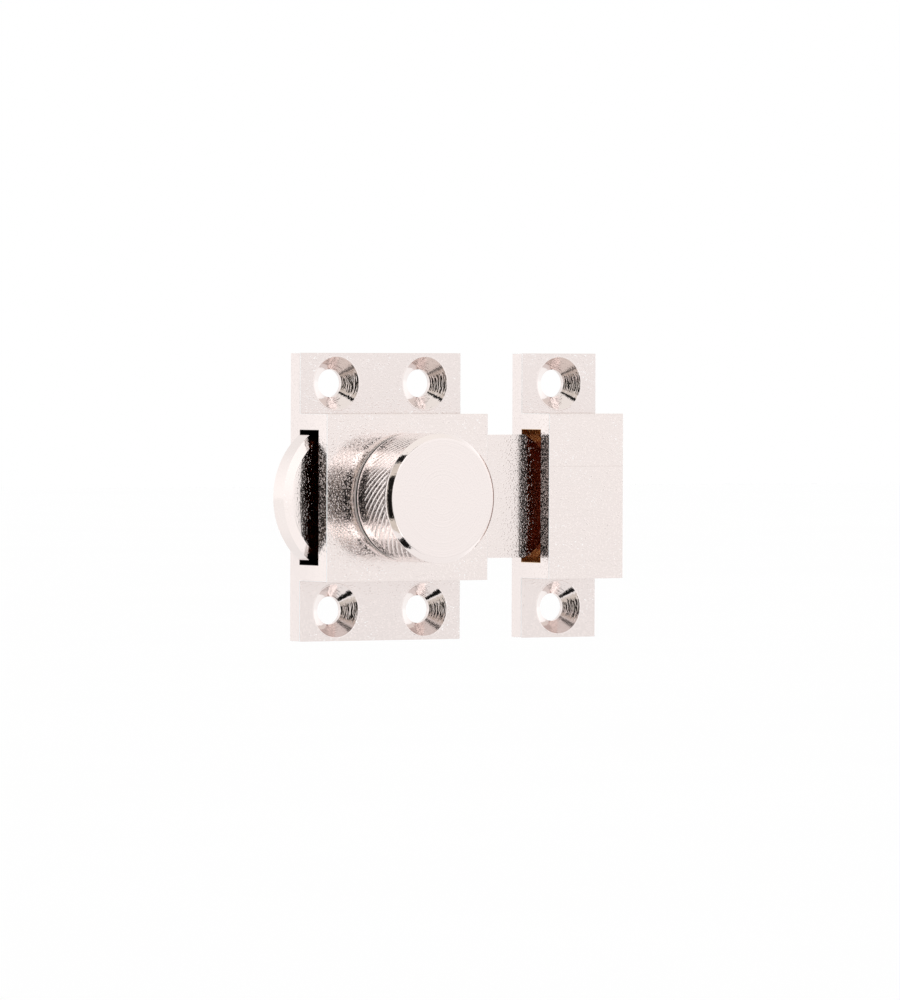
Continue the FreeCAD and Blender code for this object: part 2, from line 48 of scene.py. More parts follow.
# Places that the frame gives
KNOB_LOW, KNOB_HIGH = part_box("knob")
CASE_LOW, CASE_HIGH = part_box("case")
KEEPER_LOW, KEEPER_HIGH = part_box("keeper")
BOLT_LOW, BOLT_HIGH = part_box("bolt")
KNOB_RADIUS = KNOB_HIGH.z
KNOB_FACE = -KNOB_LOW.y
TAIL_END = -KNOB_HIGH.y
CASE_HALF = CASE_HIGH.x
CASE_FRONT = -CASE_LOW.y
KEEPER_MIDDLE = (KEEPER_LOW.x + KEEPER_HIGH.x) / 2
KEEPER_HALF = (KEEPER_HIGH.x - KEEPER_LOW.x) / 2
BAR_MIDDLE = (BOLT_LOW.x + BOLT_HIGH.x) / 2
BAR_HALF = BOLT_HIGH.z

# The drawn section, as the case and the keeper have it, the marks on it, its painted root shade and its
# painted edge highlight
PLATE_FRONT = 2.25 * MM
CHANNEL_FRONT = 6.8 * MM
CHANNEL_HALF = 8.85 * MM
BOX_HALF = 11.0 * MM
HOLE_ROW = 15.0 * MM
HOLE_ASIDE = 7.0 * MM
HEAD_RADIUS = 3.5 * MM
LIP_INNER = HEAD_RADIUS + 0.04 * MM
LIP_OUTER = HEAD_RADIUS + 0.12 * MM
ROOT_SHADE_WIDTH = 0.12 * MM
ROOT_SHADE_SHOWN = 0.5
SCRATCH_LOW = 3.95 * MM
SCRATCH_HIGH = 4.05 * MM
KEEPER_SCRATCH = 0.35
EDGE_HIGHLIGHT_START = 0.006 * MM
EDGE_HIGHLIGHT_END = 0.075 * MM
CHANNEL_GLOSS_LOSS = 0.2

# The bar: where its faces begin to fall away and where its bevel begins, and in mm how far both bulge
BAR_FLAT = (BOLT_HIGH.x - BOLT_LOW.x) / 2 - 2.8 * MM
BAR_BEVEL = (BOLT_HIGH.x - BOLT_LOW.x) / 2 - 1.2 * MM
FALL_BULGE = 1.4
END_BULGE = 4.0
FALL_DEPTH = 6.0
BAR_GRAIN = 0.9
BEVEL_GRAIN_LOSS = 0.75

# The knob's turned profile
KNOB_BACK = 9.25 * MM
BASE_TAPER = 0.5 * MM
BASE_SLOPE = math.radians(15)
BASE_ROUND = 0.12 * MM
KNURL_START = 11.3 * MM
KNURL_END = 16.3 * MM
RIM_CHAMFER = 0.6 * MM
EDGE_ROUND = 0.16 * MM
LAND_STEP = 0.3 * MM
JOURNAL_RADIUS = 3.0 * MM
JOURNAL_MIDDLE = 8.0 * MM
JOURNAL_END = 6.65 * MM
SEAT_HALF = 1.5 * MM
SEAT_BLUNT = 1.38
SEAT_END = 5.3 * MM
TAIL_RADIUS = 1.5 * MM
TAIL_CHAMFER = 0.15 * MM
TAP_RADIUS = 1.02 * MM
TAP_DEPTH = 4.1 * MM
DRILL_POINT = 0.5 * MM
# Depth from which the washer is painted dark, as shade in the gap before the knob
WASHER_SHADE_START = 9.02 * MM
KNOB_GRAIN = 0.8
CHAMFER_GRAIN_LOSS = 0.65
BAND_GRAIN_LOSS = 0.60
RIM_RING_HEIGHT = 0.15
FACE_RING_HEIGHT = 1.4

# The knob's knurl
RIBS = 52
RIB_COLUMNS = 14
RIB_ROWS = 31
RIB_CREST = 0.58
RIB_ROUNDING = 0.06
RIB_DEPTH = 0.062 * MM
RIB_DROP = 0.02 * MM
RIB_RUN_OUT = 0.35 * MM
DROP_RUN_OUT = 0.1 * MM

# Grain of the finishes: scales are waves in a metre, heights are shares of how far the bump reaches,
# and steps are the noise values between which a mark rises from nought to one
PLATE_REACH = 0.010 * MM
PEEL_SCALE = 3600.0
PEEL_HEIGHT = 0.25
HAZE_SCALE = 10500.0
HAZE_STEP = (0.48, 0.80)
HAZE_HEIGHT = 0.36
SPECK_SCALE = 4300.0
SPECK_STEP = (0.55, 0.74)
SPECK_HEIGHT = 1.7
LINE_STRETCH = (25.0, 2200.0, 2200.0)
LINE_HEIGHT = 0.08
STAIN_STEP = (0.60, 0.85)
STAIN_SHOWN = 0.25
DASH_STRETCH = (2600.0, 6000.0, 6000.0)
DASH_STEP = (0.66, 0.74)
CLUSTER_SCALE = 190.0
CLUSTER_STEP = (0.45, 0.62)
SINK_RING_SCALE = 6500.0
SINK_RING_WANDER = 0.12
SINK_RING_DEEP = 8.0
SINK_RING_LIGHT = 3.0
SINK_RING_STEP = (0.35, 0.60)
SINK_LEFT_SHARE = 0.10
SINK_RIGHT_STEP = (-0.4 * MM, 1.6 * MM)
LIP_HEIGHT = 1.5
KNOB_RING_SCALE = 5200.0
SMEAR_SCALE = 900.0
KNOB_SMEAR_SCALE = 800.0
POLISH = 0.05
SMEAR = 0.04

# The camera, solved from the corners of the plates in the photograph
CAMERA_AZIMUTH = math.radians(-33.6263)
CAMERA_HEIGHT = math.radians(0.9662)
CAMERA_ROLL = math.radians(0.191)
CAMERA_AWAY = 1.2
CAMERA_ASIDE = 10.4283 * MM
CAMERA_LOWER = 0.4362 * MM
FOCAL_PIXELS = 9058.41
LONG_SIDE = 1000
SENSOR = 36.0

OUTWARD = Vector((
    math.sin(CAMERA_AZIMUTH) * math.cos(CAMERA_HEIGHT),
    -math.cos(CAMERA_AZIMUTH) * math.cos(CAMERA_HEIGHT),
    math.sin(CAMERA_HEIGHT),
))
SIDEWAYS = Vector((math.cos(CAMERA_AZIMUTH), math.sin(CAMERA_AZIMUTH), 0.0))
UPWARD = OUTWARD.cross(SIDEWAYS)

# The light tent. Pairs are the value for directions below the lens and the value for those above it
SHOWN_BY_FRONTS = Vector((-OUTWARD.x, OUTWARD.y, 0.0)).normalized()
OPENING_LEFT = -0.57
OPENING_RIGHT = 0.33
OPENING_RISE = 0.48
OPENING_FALL = 0.147
OPENING_SOFT = 0.06
GAP_LEFT = -1.5
GAP_RIGHT = 1.6
GAP_FOOT = (1.25, 0.969)
GAP_FOOT_FALL = (1.0, 0.33)
GAP_HEAD = (2.95, 1.50)
GAP_HEAD_FALL = (0.61, 0.42)
GAP_LEAST_RISE = 0.66
NOTCH_RISE = 0.64
NOTCH_SLOPE = 0.4
NOTCH_LEFT = 0.24
STEP_SOFT = 0.06
VEIL_LEFT = -0.8
VEIL_RIGHT = -0.1
VEIL_RISE = 1.0
VEIL_SHADE = 0.30
BAND_LEFT = 0.10
BAND_RIGHT = 0.75
BAND_FOOT = 0.50
BAND_HEAD = 0.95
BAND_GAIN = 0.85
ROUND_GAIN = 0.17
UNDER_LEVEL = 0.95
OVER_LEVEL = 1.05
TOP_LEVEL = 0.92
REAR_SIDE_LEVEL = 0.94
REAR_LEVEL = 0.86
DARK_SHADE = 0.99
CLOTH_SCALE = 2.4
CLOTH_LEAST = 0.97
CLOTH_SPREAD = 0.06

# The floor
FLOOR_HALF = 6.0
FLOOR_BELOW = 90 * MM


class Socket:
    """A node's output. Sums and products of sockets add their Math nodes."""

    def __init__(self, nodes, output):
        self.nodes = nodes
        self.output = output

    def maths(self, operation, *values):
        return self.nodes.add("ShaderNodeMath", {"operation": operation}, dict(enumerate(values)))

    def __add__(self, other):
        return self.maths("ADD", self, other)

    __radd__ = __add__

    def __sub__(self, other):
        return self.maths("SUBTRACT", self, other)

    def __rsub__(self, other):
        return self.maths("SUBTRACT", other, self)

    def __mul__(self, other):
        return self.maths("MULTIPLY", self, other)

    __rmul__ = __mul__

    def __truediv__(self, other):
        return self.maths("DIVIDE", self, other)

    def __pow__(self, other):
        return self.maths("POWER", self, other)

    def __neg__(self):
        return self.maths("MULTIPLY", self, -1.0)

    def __abs__(self):
        return self.maths("ABSOLUTE", self)

    def sign(self):
        return self.maths("SIGN", self)

    def at_least(self, other):
        return self.maths("MAXIMUM", self, other)

    def at_most(self, other):
        return self.maths("MINIMUM", self, other)


class Nodes:
    """A node tree, with the few node groups that the finishes are made of."""

    def __init__(self, tree):
        self.tree = tree
        tree.nodes.clear()

    def add(self, kind, settings=None, inputs=None, output=0):
        """A node of this kind: first its settings, then its sockets' values or links."""
        node = self.tree.nodes.new(kind)
        for name, setting in (settings or {}).items():
            setattr(node, name, setting)
        for name, given in (inputs or {}).items():
            if isinstance(given, Socket):
                self.tree.links.new(given.output, node.inputs[name])
            else:
                node.inputs[name].default_value = given
        return Socket(self, node.outputs[output]) if len(node.outputs) else None

    def ramp(self, value, low, high, start=0.0, finish=1.0):
        """A smooth step from start at low to finish at high."""
        return self.add("ShaderNodeMapRange", {"interpolation_type": "SMOOTHSTEP"}, {
            "Value": value, "From Min": low, "From Max": high, "To Min": start, "To Max": finish,
        })

    def within(self, value, low, high, soft):
        """One between low and high, nought outside, with soft edges."""
        rising = self.ramp(value, low - soft, low + soft)
        falling = self.ramp(value, high - soft, high + soft, 1.0, 0.0)
        return rising * falling

    def noise(self, vector, scale, detail=2.0, roughness=0.5):
        return self.add("ShaderNodeTexNoise", None, {
            "Vector": vector, "Scale": scale, "Detail": detail, "Roughness": roughness,
        })

    def stretched(self, vector, scale):
        return self.add("ShaderNodeMapping", None, {"Vector": vector, "Scale": scale})

    def joined(self, x, y, z=0.0):
        """A vector of three numbers."""
        return self.add("ShaderNodeCombineXYZ", None, {"X": x, "Y": y, "Z": z})

    def blend(self, factor, one, other):
        """A colour between one and other."""
        return self.add("ShaderNodeMix", {"data_type": "RGBA"}, {0: factor, 6: one, 7: other}, 2)

    def split(self, vector):
        return [self.add("ShaderNodeSeparateXYZ", None, {"Vector": vector}, axis) for axis in range(3)]

    def point(self):
        """Places on the piece itself, in metres."""
        return self.add("ShaderNodeTexCoord", output="Object")

    def dot(self, vector, direction):
        settings = {"operation": "DOT_PRODUCT"}
        return self.add("ShaderNodeVectorMath", settings, {0: vector, 1: direction}, "Value")


def colour(red, green, blue):
    return (red, green, blue, 1.0)


WHITE = colour(1.0, 1.0, 1.0)
FLOOR_PALE = colour(0.99, 0.99, 0.99)
NICKEL = colour(0.870, 0.795, 0.772)
NICKEL_FINE = colour(0.910, 0.835, 0.815)
NICKEL_DULL = colour(0.830, 0.757, 0.738)
# Colour of the stains on the drawn lines and rings, and of the painted shade along the box's foot
NICKEL_STAIN_AND_SHADE = colour(0.66, 0.58, 0.55)
BRASS = colour(0.62, 0.40, 0.20)
BRASS_DARK = colour(0.24, 0.055, 0.022)
NYLON = colour(0.97, 0.96, 0.94)
NYLON_DULL = colour(0.82, 0.80, 0.76)
# Near black: painted shade, in the case's channel corners and on the washer's side in the gap before the
# knob
PAINTED_SHADE_BLACK = colour(0.020, 0.014, 0.010)
ZINC = colour(0.60, 0.61, 0.62)
ZINC_WARM = colour(0.70, 0.69, 0.62)
TENT_LIGHT = colour(1.0, 0.995, 0.99)
TENT_TOP_LIGHT = colour(1.0, 0.985, 0.95)
TENT_VEIL_LIGHT = colour(1.0, 0.93, 0.84)


def finished(name, make):
    """A material whose node tree make fills."""
    material = bpy.data.materials.new(name)
    material.use_nodes = True
    make(Nodes(material.node_tree))
    return material


def surface(nodes, base, roughness, height, reach, shine=1.0):
    """A surface that is metal where shine is one. Height is a bump that stands reach high."""
    bump = nodes.add("ShaderNodeBump", None, {"Height": height, "Distance": reach, "Strength": 1.0})
    shader = nodes.add("ShaderNodeBsdfPrincipled", None, {
        "Base Color": base, "Metallic": shine, "Roughness": roughness, "Normal": bump,
    })
    nodes.add("ShaderNodeOutputMaterial", None, {"Surface": shader})


def drawn_lines(nodes, point):
    """Fine lines along X, as a section drawn through a die has."""
    return nodes.noise(nodes.stretched(point, LINE_STRETCH), 1.0, 3.0, 0.6)


def stain(nodes, marks):
    """How strongly the highest of the lines or rings show in the colour."""
    return nodes.ramp(marks, *STAIN_STEP) * STAIN_SHOWN


def smears(nodes, point, scale=SMEAR_SCALE):
    """The roughness of polished plate, with faint smears."""
    return POLISH + nodes.noise(point, scale) * SMEAR


def plating(nodes, point):
    """The grain of the plate: a slight orange peel, a fine haze and small specks with steep sides."""
    peel = nodes.noise(point, PEEL_SCALE, 2.0, 0.6)
    haze = nodes.ramp(nodes.noise(point, HAZE_SCALE, 1.0), *HAZE_STEP)
    specks = nodes.ramp(nodes.noise(point, SPECK_SCALE, 0.5), *SPECK_STEP)
    return peel * PEEL_HEIGHT + haze * HAZE_HEIGHT + specks * SPECK_HEIGHT


def dust(nodes, point):
    """Clusters of short bright dashes along the drawn lines."""
    dashes = nodes.ramp(nodes.noise(nodes.stretched(point, DASH_STRETCH), 1.0, 1.0), *DASH_STEP)
    clusters = nodes.ramp(nodes.noise(point, CLUSTER_SCALE, 1.0), *CLUSTER_STEP)
    return dashes * clusters


def hole_radius(along, z, aside):
    """Distance from the axis of the nearest screw hole."""
    across = abs(along) - aside
    above = abs(z) - HOLE_ROW
    return (across * across + above * above) ** 0.5


def countersunk(nodes, radius, z, depth):
    """One inside the screw holes' countersinks, which lie beyond the box and in front of the back."""
    mouth = nodes.ramp(radius, HEAD_RADIUS * 0.99, HEAD_RADIUS * 1.02, 1.0, 0.0)
    flange = nodes.ramp(abs(z), BOX_HALF, BOX_HALF + 0.1 * MM)
    return mouth * flange * nodes.ramp(depth, 0.02 * MM, 0.06 * MM)


def in_channel(nodes, z, depth):
    """One on the walls of the channel that the bolt runs in."""
    tall = nodes.ramp(abs(z), CHANNEL_HALF + 0.02 * MM, CHANNEL_HALF + 0.08 * MM, 1.0, 0.0)
    return tall * nodes.within(depth, PLATE_FRONT - 0.03 * MM, CHANNEL_FRONT + 0.03 * MM, 0.02 * MM)


def sink_rings(nodes, x, z, along, aside, radius):
    """Turning marks in a countersink, deep at its two sides, light above and below and towards the left."""
    rings = nodes.noise(nodes.joined(radius, x * SINK_RING_WANDER, z * SINK_RING_WANDER), SINK_RING_SCALE)
    right = nodes.ramp(along - along.sign() * aside, *SINK_RIGHT_STEP, SINK_LEFT_SHARE, 1.0)
    upright = abs(abs(z) - HOLE_ROW) / radius
    return rings * right * nodes.ramp(upright, *SINK_RING_STEP, SINK_RING_DEEP, SINK_RING_LIGHT)


def painted_root_shade(nodes, z):
    """Painted shade: a faint dark line on the flange along the box's foot, in the crease where shade falls.
    """
    return nodes.within(abs(z), BOX_HALF, BOX_HALF + ROOT_SHADE_WIDTH, 0.03 * MM) * ROOT_SHADE_SHOWN


def scratch_line(nodes, z, depth):
    """A long thin scratch along the box's front."""
    line = nodes.within(z, SCRATCH_LOW, SCRATCH_HIGH, 0.03 * MM)
    return line * nodes.ramp(depth, CASE_FRONT - 0.1 * MM, CASE_FRONT - 0.05 * MM)


def channel_colour(nodes, point, z, corner):
    """Dark tarnished brass that turns to the corner colour near the channel's top and bottom; on the case
    that colour is a near-black painted shade.
    """
    deep = nodes.ramp(abs(z), CHANNEL_HALF - 1.0 * MM, CHANNEL_HALF - 0.5 * MM, 1.0, 0.0)
    return nodes.blend(deep * (0.7 + nodes.noise(point, 700.0, 3.0) * 0.6), corner, BRASS_DARK)


def section_finish(middle, half, aside, scratch, corner):
    """Nickel plate on a drawn section, turned in its countersinks, bare brass in its channel.

    middle is the middle of the piece's length and half half of that length, aside how far its holes lie
    from the middle, scratch how strong the long scratch on its front is, and corner the colour in the
    channel's corners: bare brass on the keeper, a near-black painted shade on the case. A narrow white
    band just inside the piece's ends is a painted highlight where its edges catch the light.
    """

    def make(nodes):
        point = nodes.point()
        x, y, z = nodes.split(point)
        depth = -y
        along = x - middle
        to_end = half - abs(along)
        radius = hole_radius(along, z, aside)
        sunk = countersunk(nodes, radius, z, depth)
        inside = in_channel(nodes, z, depth)
        shown = nodes.ramp(to_end, 0.08 * MM, 0.12 * MM) * nodes.ramp(depth, 0.1 * MM, 0.2 * MM)
        lines = drawn_lines(nodes, point)
        plate = nodes.blend(nodes.ramp(depth, PLATE_FRONT, CASE_FRONT), NICKEL_DULL, NICKEL)
        # Real stains and the scratch, plus painted shade along the box's foot.
        marks = stain(nodes, lines) + painted_root_shade(nodes, z) * shown + scratch_line(nodes, z, depth) * scratch
        plate = nodes.blend(marks, plate, NICKEL_STAIN_AND_SHADE)
        plate = nodes.blend(dust(nodes, point) * shown * (1 - sunk), plate, WHITE)
        # Painted highlight: a narrow white, unmetallic band just inside each end, where the edges catch the
        # light.
        edge = nodes.within(to_end, EDGE_HIGHLIGHT_START, EDGE_HIGHLIGHT_END, 0.004 * MM) * (1 - inside)
        base = nodes.blend(inside, plate, channel_colour(nodes, point, z, corner))
        base = nodes.blend(edge, base, WHITE)
        lip = nodes.within(radius, LIP_INNER, LIP_OUTER, 0.04 * MM)
        flat = (lines * LINE_HEIGHT + plating(nodes, point)) * (1 - sunk)
        turned = sink_rings(nodes, x, z, along, aside, radius) * sunk + lip * shown * LIP_HEIGHT
        roughness = smears(nodes, point) + inside * CHANNEL_GLOSS_LOSS
        surface(nodes, base, roughness, flat + turned, PLATE_REACH, 1 - edge)

    return make


def bar_finish(nodes):
    """Nickel plate on a polished flat bar, whose faces fall away a little towards its rounded ends.

    The fall is a parabola that starts on an arc across the bar and ends at the bevel.
    """
    point = nodes.point()
    x, _, z = nodes.split(point)
    lines = drawn_lines(nodes, point)
    base = nodes.blend(stain(nodes, lines), NICKEL, NICKEL_STAIN_AND_SHADE)
    base = nodes.blend(dust(nodes, point), base, WHITE)
    away = abs(x - BAR_MIDDLE)
    up = z / BAR_HALF
    bulge = up * up
    start = (away - BAR_FLAT) / MM + bulge * FALL_BULGE
    at_bevel = (BAR_BEVEL - BAR_FLAT) / MM - bulge * (END_BULGE - FALL_BULGE)
    fall = start.at_most(at_bevel).at_least(0.0)
    bevel = nodes.ramp((away - BAR_BEVEL) / MM + bulge * END_BULGE, -0.3, 0.0)
    grain = lines * LINE_HEIGHT + plating(nodes, point) * (BAR_GRAIN - bevel * BEVEL_GRAIN_LOSS)
    surface(nodes, base, smears(nodes, point), grain - fall * fall * FALL_DEPTH, PLATE_REACH)


def turned_finish(nodes):
    """Nickel plate over turning marks: rings round the axis on the face and on the rim."""
    point = nodes.point()
    x, y, z = nodes.split(point)
    depth = -y
    radius = (x * x + z * z) ** 0.5
    rings = nodes.noise(nodes.joined(radius, y), KNOB_RING_SCALE, 3.0, 0.6)
    base = nodes.blend(stain(nodes, rings), NICKEL_FINE, NICKEL_STAIN_AND_SHADE)
    face = nodes.ramp(depth, KNOB_FACE - 0.05 * MM, KNOB_FACE - 0.02 * MM)
    chamfer = nodes.ramp(depth, KNURL_END, KNURL_END + 0.2 * MM) * CHAMFER_GRAIN_LOSS
    smooth_band = nodes.ramp(depth, KNURL_START, KNURL_START + 0.3 * MM, BAND_GRAIN_LOSS, 0.0)
    grain = plating(nodes, point) * (KNOB_GRAIN - chamfer - smooth_band)
    height = rings * (RIM_RING_HEIGHT + face * FACE_RING_HEIGHT) + grain
    surface(nodes, base, smears(nodes, point, KNOB_SMEAR_SCALE), height, PLATE_REACH)


def brass_finish(nodes):
    """Bare machined brass, a little tarnished."""
    point = nodes.point()
    base = nodes.blend(nodes.noise(point, 600.0, 3.0), BRASS, BRASS_DARK)
    height = nodes.noise(nodes.stretched(point, (6000.0, 600.0, 600.0)), 1.0, 2.0)
    surface(nodes, base, 0.22 + nodes.noise(point, SMEAR_SCALE) * 0.15, height, 0.003 * MM)


def nylon_finish(nodes):
    """White nylon sheet, a little waxy. Its side towards the knob is painted near black as shade in the gap
    between washer and knob.
    """
    point = nodes.point()
    depth = -nodes.split(point)[1]
    grain = nodes.noise(point, 2500.0, 3.0)
    gap_shade = nodes.ramp(depth, WASHER_SHADE_START - 0.02 * MM, WASHER_SHADE_START + 0.02 * MM)
    base = nodes.blend(gap_shade, nodes.blend(grain * 0.3, NYLON, NYLON_DULL), PAINTED_SHADE_BLACK)
    surface(nodes, base, 0.35 + grain * 0.15, grain, 0.004 * MM, 0.0)


def steel_finish(nodes):
    """Zinc plated steel with its fine crystals."""
    point = nodes.point()
    grain = nodes.noise(point, 1800.0, 3.0)
    base = nodes.blend(grain, ZINC, ZINC_WARM)
    surface(nodes, base, 0.2 + grain * 0.15, grain, 0.002 * MM)


def mesh_piece(name, rings, poles, finish, body):
    """A closed skin over rings of points, from a front pole to a back pole, facing outwards."""
    rows, columns = rings.shape[:2]
    points = np.vstack([rings.reshape(-1, 3), np.array(poles)])
    front, back = rows * columns, rows * columns + 1
    here = np.arange(rows * columns).reshape(rows, columns)
    beside = np.roll(here, -1, axis=1)
    sides = np.stack([here[:-1], here[1:], beside[1:], beside[:-1]], axis=-1).reshape(-1, 4)
    cap = np.stack([np.full(columns, front), here[0], beside[0]], axis=-1)
    foot = np.stack([np.full(columns, back), beside[-1], here[-1]], axis=-1)
    mesh = bpy.data.meshes.new(name)
    mesh.from_pydata(points.tolist(), [], sides.tolist() + cap.tolist() + foot.tolist())
    mesh.validate()
    mesh.shade_smooth()
    mesh.set_sharp_from_angle(angle=math.radians(40))
    mesh.materials.append(finish)
    piece = bpy.data.objects.new(name, mesh)
    bpy.context.scene.collection.objects.link(piece)
    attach(piece, body)
    return piece


def arc(centre_depth, centre_radius, reach, start, finish, steps):
    """Depths and radii on a quarter or less of a circle in the profile's plane."""
    turn = np.radians(np.linspace(start, finish, steps))
    return [(centre_depth + reach * math.cos(t), centre_radius + reach * math.sin(t)) for t in turn]


def head_profile():
    """Depth and radius from the middle of the knob's face out to its rim, where the knurl starts."""
    blunt = EDGE_ROUND * math.tan(math.radians(22.5))
    face_edge = KNOB_RADIUS - RIM_CHAMFER
    rim_start = KNOB_FACE - RIM_CHAMFER
    face = [(KNOB_FACE, share * (face_edge - blunt)) for share in np.linspace(0.04, 0.98, 12)]
    inner = arc(KNOB_FACE - EDGE_ROUND, face_edge - blunt, EDGE_ROUND, 0, 45, 4)
    outer = arc(rim_start - blunt, KNOB_RADIUS - EDGE_ROUND, EDGE_ROUND, 45, 90, 4)
    return face + inner + outer


def base_profile():
    """Depth and radius from the knurl's rear end over the tapered base and its back to the journal."""
    narrow = BASE_TAPER * math.tan(BASE_SLOPE)
    land = [(KNURL_START - step * LAND_STEP, KNOB_RADIUS) for step in range(1, 5)]
    taper = [(KNOB_BACK + BASE_ROUND + BASE_TAPER, KNOB_RADIUS)]
    corner = arc(KNOB_BACK + BASE_ROUND, KNOB_RADIUS - narrow - BASE_ROUND, BASE_ROUND, 105, 180, 5)
    back = [(KNOB_BACK, JOURNAL_RADIUS + step * MM) for step in (4, 2.5, 1.2, 0.1)]
    journal = [(depth, JOURNAL_RADIUS) for depth in (KNOB_BACK, JOURNAL_MIDDLE, JOURNAL_END)]
    return land + taper + corner + back + journal


def spindle_profile():
    """Depth and radius down the square seat and the round tail and up its tapped hole."""
    seat = square_radius(SEAT_HALF)
    return [
        (JOURNAL_END, seat),
        (SEAT_END, seat),
        (SEAT_END, TAIL_RADIUS),
        (TAIL_END + TAIL_CHAMFER, TAIL_RADIUS),
        (TAIL_END, TAIL_RADIUS - TAIL_CHAMFER),
        (TAIL_END, TAP_RADIUS),
        (TAIL_END + TAP_DEPTH, TAP_RADIUS),
    ]


def ring(depth, radius, turn=0.0):
    """A ring of points about the spindle's axis. Its columns start turn radians round."""
    columns = RIBS * RIB_COLUMNS
    angle = turn + np.arange(columns) * (2 * math.pi / columns)
    radius = np.broadcast_to(radius, (columns,))
    return np.stack([radius * np.sin(angle), np.full(columns, -depth), radius * np.cos(angle)], axis=-1)


def knurl_cut(share):
    """How deep each column lies under the crests: shallow grooves with rounded edges and wide flat crests.

    The groove is a straight V across what the crest leaves free, less a small sine wave that rounds it.
    share is how much of the full depth the groove has at this row.
    """
    phase = np.tile(np.arange(RIB_COLUMNS) / RIB_COLUMNS, RIBS)
    aside = np.abs(2 * phase - 1)
    groove = np.clip((1 - aside - RIB_CREST) / (1 - RIB_CREST), 0, 1)
    rounded = groove - RIB_ROUNDING * np.sin(2 * math.pi * groove)
    return RIB_DEPTH * share * rounded


def knurl_row(depth, lean):
    """One ring of the knurl. Its columns turn lean radians a metre; its grooves run out at both ends."""
    edge = min(depth - KNURL_START, KNURL_END - depth)
    share = min(1.0, edge / RIB_RUN_OUT)
    drop = RIB_DROP * min(1.0, edge / DROP_RUN_OUT)
    return ring(depth, KNOB_RADIUS - drop - knurl_cut(share), depth * lean)


def square_radius(half):
    """The radius of each column on a square about the axis, its corners blunted."""
    columns = RIBS * RIB_COLUMNS
    angle = np.arange(columns) * (2 * math.pi / columns)
    square = half / np.maximum(np.abs(np.sin(angle)), np.abs(np.cos(angle)))
    return np.minimum(square, half * SEAT_BLUNT)


def make_knob():
    """Knob and spindle in one turned piece: 45 degree knurl, journal, square seat, tapped tail."""
    lean = 1 / KNOB_RADIUS
    rows = [ring(depth, radius, KNURL_END * lean) for depth, radius in head_profile()]
    rows += [knurl_row(depth, lean) for depth in np.linspace(KNURL_END, KNURL_START, RIB_ROWS)]
    rows += [ring(depth, radius, KNURL_START * lean) for depth, radius in base_profile()]
    rows += [ring(depth, radius) for depth, radius in spindle_profile()]
    poles = [(0.0, -KNOB_FACE, 0.0), (0.0, -(TAIL_END + TAP_DEPTH + DRILL_POINT), 0.0)]
    finish = finished("turned_nickel", turned_finish)
    piece = mesh_piece("turned_knob", np.array(rows), poles, finish, "knob")
    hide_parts("knob")


def dress(node, finish):
    """Gives a CAD node its finish."""
    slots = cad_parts[node].material_slots
    if len(slots) == 0:
        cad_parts[node].data.materials.append(finish)
    for slot in slots:
        slot.material = finish


def dress_frame():
    """Gives every CAD node that stays its finish."""
    # The case's channel corners get near-black painted shade; the keeper's show bare brass.
    case = section_finish(0.0, CASE_HALF, HOLE_ASIDE, 0.0, PAINTED_SHADE_BLACK)
    keeper = section_finish(KEEPER_MIDDLE, KEEPER_HALF, 0.0, KEEPER_SCRATCH, BRASS)
    brass = finished("cut_brass", brass_finish)
    steel = finished("zinc_steel", steel_finish)
    dress("case", finished("case_nickel", case))
    dress("keeper", finished("keeper_nickel", keeper))
    dress("bolt", finished("bar_nickel", bar_finish))
    dress("friction_washer", finished("white_nylon", nylon_finish))
    for node in ("rack", "rack_rivets", "pinion"):
        dress(node, brass)
    for node in ("spring_washer", "spindle_screw"):
        dress(node, steel)


def by_half(above, pair):
    """The first of a pair for directions below the lens, the second for those above it."""
    return above * (pair[1] - pair[0]) + pair[0]


def lens_opening(nodes, across, rise):
    """The dark opening round the lens. It gets a little less tall towards the right."""
    slanted = rise + across * OPENING_FALL
    tall = nodes.ramp(slanted, OPENING_RISE, OPENING_RISE + OPENING_SOFT, 1.0, 0.0)
    return tall * nodes.within(across, OPENING_LEFT, OPENING_RIGHT, OPENING_SOFT)


def dark_gap(nodes, across, rise, above):
    """The dark gaps above and below the lens.

    Each is a band of rise with a sloping foot and head. A notch cuts off its right part, which rays
    that bounce twice in a countersink would find.
    """
    from_foot = rise + across * by_half(above, GAP_FOOT_FALL) - by_half(above, GAP_FOOT)
    from_head = rise + across * by_half(above, GAP_HEAD_FALL) - by_half(above, GAP_HEAD)
    foot = nodes.ramp(from_foot, -0.035, 0.035)
    foot = foot * nodes.ramp(rise, GAP_LEAST_RISE, GAP_LEAST_RISE + STEP_SOFT)
    head = nodes.ramp(from_head, -STEP_SOFT, STEP_SOFT, 1.0, 0.0)
    notch = nodes.ramp(rise - across * NOTCH_SLOPE, NOTCH_RISE, NOTCH_RISE + STEP_SOFT)
    notch = notch * nodes.ramp(across, NOTCH_LEFT, NOTCH_LEFT + STEP_SOFT)
    return foot * head * nodes.within(across, GAP_LEFT, GAP_RIGHT, 0.15) * (1 - notch)


